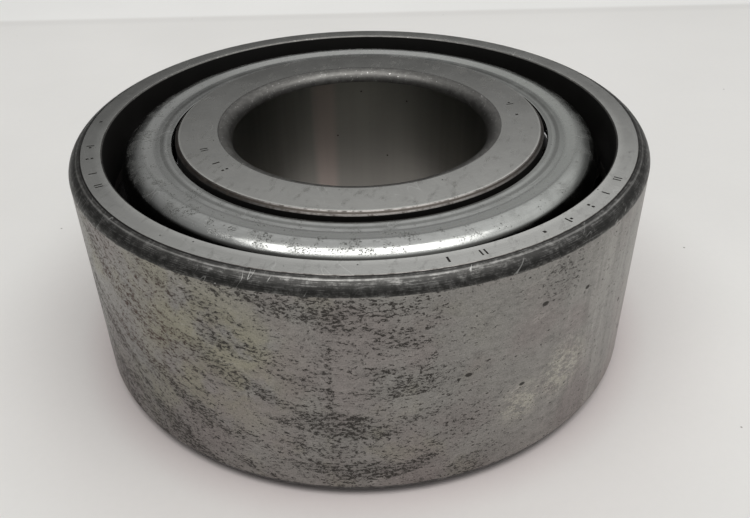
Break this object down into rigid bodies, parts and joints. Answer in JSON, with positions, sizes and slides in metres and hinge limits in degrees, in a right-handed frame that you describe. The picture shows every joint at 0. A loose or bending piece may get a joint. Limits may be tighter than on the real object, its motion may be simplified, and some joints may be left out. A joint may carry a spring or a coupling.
{
  "type": "angular contact bearing",
  "caption": "Open angular contact ball bearing: wide inner and outer ring with balls in pressed-steel cages between them, carrying radial and two-way axial load on a shaft.",
  "frame": {"origin": "the middle of the bearing, on the bore axis halfway between the ring faces", "axes": "+Z along the bore axis; the bearing lies flat on its lower ring faces"},
  "size_m": [0.11, 0.11, 0.0444],
  "materials": {
    "ring_steel": "ground bearing steel",
    "cage_steel": "pressed sheet steel",
    "ball_steel": "polished bearing steel"
  },
  "bodies": {
    "outer_ring": {"outer_ring": "ring_steel"},
    "inner_ring": {"inner_ring": "ring_steel"},
    "upper_cage": {"upper_cage": "cage_steel"},
    "lower_cage": {"lower_cage": "cage_steel"},
    "upper_ball_01": {"upper_ball_01": "ball_steel"},
    "upper_ball_02": {"upper_ball_02": "ball_steel"},
    "upper_ball_03": {"upper_ball_03": "ball_steel"},
    "upper_ball_04": {"upper_ball_04": "ball_steel"},
    "upper_ball_05": {"upper_ball_05": "ball_steel"},
    "upper_ball_06": {"upper_ball_06": "ball_steel"},
    "upper_ball_07": {"upper_ball_07": "ball_steel"},
    "upper_ball_08": {"upper_ball_08": "ball_steel"},
    "upper_ball_09": {"upper_ball_09": "ball_steel"},
    "upper_ball_10": {"upper_ball_10": "ball_steel"},
    "upper_ball_11": {"upper_ball_11": "ball_steel"},
    "lower_ball_01": {"lower_ball_01": "ball_steel"},
    "lower_ball_02": {"lower_ball_02": "ball_steel"},
    "lower_ball_03": {"lower_ball_03": "ball_steel"},
    "lower_ball_04": {"lower_ball_04": "ball_steel"},
    "lower_ball_05": {"lower_ball_05": "ball_steel"},
    "lower_ball_06": {"lower_ball_06": "ball_steel"},
    "lower_ball_07": {"lower_ball_07": "ball_steel"},
    "lower_ball_08": {"lower_ball_08": "ball_steel"},
    "lower_ball_09": {"lower_ball_09": "ball_steel"},
    "lower_ball_10": {"lower_ball_10": "ball_steel"},
    "lower_ball_11": {"lower_ball_11": "ball_steel"}
  },
  "joints": [
    {"name": "inner_ring_spin", "type": "hinge", "parent": "outer_ring", "child": "inner_ring", "pos_m": [0, 0, 0], "axis": [0, 0, 1], "continuous": true},
    {"name": "upper_cage_spin", "type": "hinge", "parent": "outer_ring", "child": "upper_cage", "pos_m": [0, 0, 0], "axis": [0, 0, 1], "continuous": true},
    {"name": "lower_cage_spin", "type": "hinge", "parent": "outer_ring", "child": "lower_cage", "pos_m": [0, 0, 0], "axis": [0, 0, 1], "continuous": true},
    {"name": "upper_ball_01_spin", "type": "hinge", "parent": "upper_cage", "child": "upper_ball_01", "pos_m": [0.04, 0, 0.0103], "axis": [0.5, 0, 0.866], "continuous": true},
    {"name": "upper_ball_02_spin", "type": "hinge", "parent": "upper_cage", "child": "upper_ball_02", "pos_m": [0.03365, 0.02163, 0.0103], "axis": [0.4206, 0.2703, 0.866], "continuous": true},
    {"name": "upper_ball_03_spin", "type": "hinge", "parent": "upper_cage", "child": "upper_ball_03", "pos_m": [0.01662, 0.03639, 0.0103], "axis": [0.2077, 0.4548, 0.866], "continuous": true},
    {"name": "upper_ball_04_spin", "type": "hinge", "parent": "upper_cage", "child": "upper_ball_04", "pos_m": [-0.00569, 0.03959, 0.0103], "axis": [-0.0712, 0.4949, 0.866], "continuous": true},
    {"name": "upper_ball_05_spin", "type": "hinge", "parent": "upper_cage", "child": "upper_ball_05", "pos_m": [-0.02619, 0.03023, 0.0103], "axis": [-0.3274, 0.3779, 0.866], "continuous": true},
    {"name": "upper_ball_06_spin", "type": "hinge", "parent": "upper_cage", "child": "upper_ball_06", "pos_m": [-0.03838, 0.01127, 0.0103], "axis": [-0.4797, 0.1409, 0.866], "continuous": true},
    {"name": "upper_ball_07_spin", "type": "hinge", "parent": "upper_cage", "child": "upper_ball_07", "pos_m": [-0.03838, -0.01127, 0.0103], "axis": [-0.4797, -0.1409, 0.866], "continuous": true},
    {"name": "upper_ball_08_spin", "type": "hinge", "parent": "upper_cage", "child": "upper_ball_08", "pos_m": [-0.02619, -0.03023, 0.0103], "axis": [-0.3274, -0.3779, 0.866], "continuous": true},
    {"name": "upper_ball_09_spin", "type": "hinge", "parent": "upper_cage", "child": "upper_ball_09", "pos_m": [-0.00569, -0.03959, 0.0103], "axis": [-0.0712, -0.4949, 0.866], "continuous": true},
    {"name": "upper_ball_10_spin", "type": "hinge", "parent": "upper_cage", "child": "upper_ball_10", "pos_m": [0.01662, -0.03639, 0.0103], "axis": [0.2077, -0.4548, 0.866], "continuous": true},
    {"name": "upper_ball_11_spin", "type": "hinge", "parent": "upper_cage", "child": "upper_ball_11", "pos_m": [0.03365, -0.02163, 0.0103], "axis": [0.4206, -0.2703, 0.866], "continuous": true},
    {"name": "lower_ball_01_spin", "type": "hinge", "parent": "lower_cage", "child": "lower_ball_01", "pos_m": [0.03838, 0.01127, -0.0103], "axis": [-0.4797, -0.1409, 0.866], "continuous": true},
    {"name": "lower_ball_02_spin", "type": "hinge", "parent": "lower_cage", "child": "lower_ball_02", "pos_m": [0.02619, 0.03023, -0.0103], "axis": [-0.3274, -0.3779, 0.866], "continuous": true},
    {"name": "lower_ball_03_spin", "type": "hinge", "parent": "lower_cage", "child": "lower_ball_03", "pos_m": [0.00569, 0.03959, -0.0103], "axis": [-0.0712, -0.4949, 0.866], "continuous": true},
    {"name": "lower_ball_04_spin", "type": "hinge", "parent": "lower_cage", "child": "lower_ball_04", "pos_m": [-0.01662, 0.03639, -0.0103], "axis": [0.2077, -0.4548, 0.866], "continuous": true},
    {"name": "lower_ball_05_spin", "type": "hinge", "parent": "lower_cage", "child": "lower_ball_05", "pos_m": [-0.03365, 0.02163, -0.0103], "axis": [0.4206, -0.2703, 0.866], "continuous": true},
    {"name": "lower_ball_06_spin", "type": "hinge", "parent": "lower_cage", "child": "lower_ball_06", "pos_m": [-0.04, 0, -0.0103], "axis": [0.5, 0, 0.866], "continuous": true},
    {"name": "lower_ball_07_spin", "type": "hinge", "parent": "lower_cage", "child": "lower_ball_07", "pos_m": [-0.03365, -0.02163, -0.0103], "axis": [0.4206, 0.2703, 0.866], "continuous": true},
    {"name": "lower_ball_08_spin", "type": "hinge", "parent": "lower_cage", "child": "lower_ball_08", "pos_m": [-0.01662, -0.03639, -0.0103], "axis": [0.2077, 0.4548, 0.866], "continuous": true},
    {"name": "lower_ball_09_spin", "type": "hinge", "parent": "lower_cage", "child": "lower_ball_09", "pos_m": [0.00569, -0.03959, -0.0103], "axis": [-0.0712, 0.4949, 0.866], "continuous": true},
    {"name": "lower_ball_10_spin", "type": "hinge", "parent": "lower_cage", "child": "lower_ball_10", "pos_m": [0.02619, -0.03023, -0.0103], "axis": [-0.3274, 0.3779, 0.866], "continuous": true},
    {"name": "lower_ball_11_spin", "type": "hinge", "parent": "lower_cage", "child": "lower_ball_11", "pos_m": [0.03838, -0.01127, -0.0103], "axis": [-0.4797, 0.1409, 0.866], "continuous": true}
  ],
  "couplings": [
    {"joint": "upper_cage_spin", "follows": "inner_ring_spin", "ratio": 0.40548},
    {"joint": "lower_cage_spin", "follows": "inner_ring_spin", "ratio": 0.40548},
    {"joint": "upper_ball_01_spin", "follows": "inner_ring_spin", "ratio": -2.2088},
    {"joint": "upper_ball_02_spin", "follows": "inner_ring_spin", "ratio": -2.2088},
    {"joint": "upper_ball_03_spin", "follows": "inner_ring_spin", "ratio": -2.2088},
    {"joint": "upper_ball_04_spin", "follows": "inner_ring_spin", "ratio": -2.2088},
    {"joint": "upper_ball_05_spin", "follows": "inner_ring_spin", "ratio": -2.2088},
    {"joint": "upper_ball_06_spin", "follows": "inner_ring_spin", "ratio": -2.2088},
    {"joint": "upper_ball_07_spin", "follows": "inner_ring_spin", "ratio": -2.2088},
    {"joint": "upper_ball_08_spin", "follows": "inner_ring_spin", "ratio": -2.2088},
    {"joint": "upper_ball_09_spin", "follows": "inner_ring_spin", "ratio": -2.2088},
    {"joint": "upper_ball_10_spin", "follows": "inner_ring_spin", "ratio": -2.2088},
    {"joint": "upper_ball_11_spin", "follows": "inner_ring_spin", "ratio": -2.2088},
    {"joint": "lower_ball_01_spin", "follows": "inner_ring_spin", "ratio": -2.2088},
    {"joint": "lower_ball_02_spin", "follows": "inner_ring_spin", "ratio": -2.2088},
    {"joint": "lower_ball_03_spin", "follows": "inner_ring_spin", "ratio": -2.2088},
    {"joint": "lower_ball_04_spin", "follows": "inner_ring_spin", "ratio": -2.2088},
    {"joint": "lower_ball_05_spin", "follows": "inner_ring_spin", "ratio": -2.2088},
    {"joint": "lower_ball_06_spin", "follows": "inner_ring_spin", "ratio": -2.2088},
    {"joint": "lower_ball_07_spin", "follows": "inner_ring_spin", "ratio": -2.2088},
    {"joint": "lower_ball_08_spin", "follows": "inner_ring_spin", "ratio": -2.2088},
    {"joint": "lower_ball_09_spin", "follows": "inner_ring_spin", "ratio": -2.2088},
    {"joint": "lower_ball_10_spin", "follows": "inner_ring_spin", "ratio": -2.2088},
    {"joint": "lower_ball_11_spin", "follows": "inner_ring_spin", "ratio": -2.2088}
  ]
}
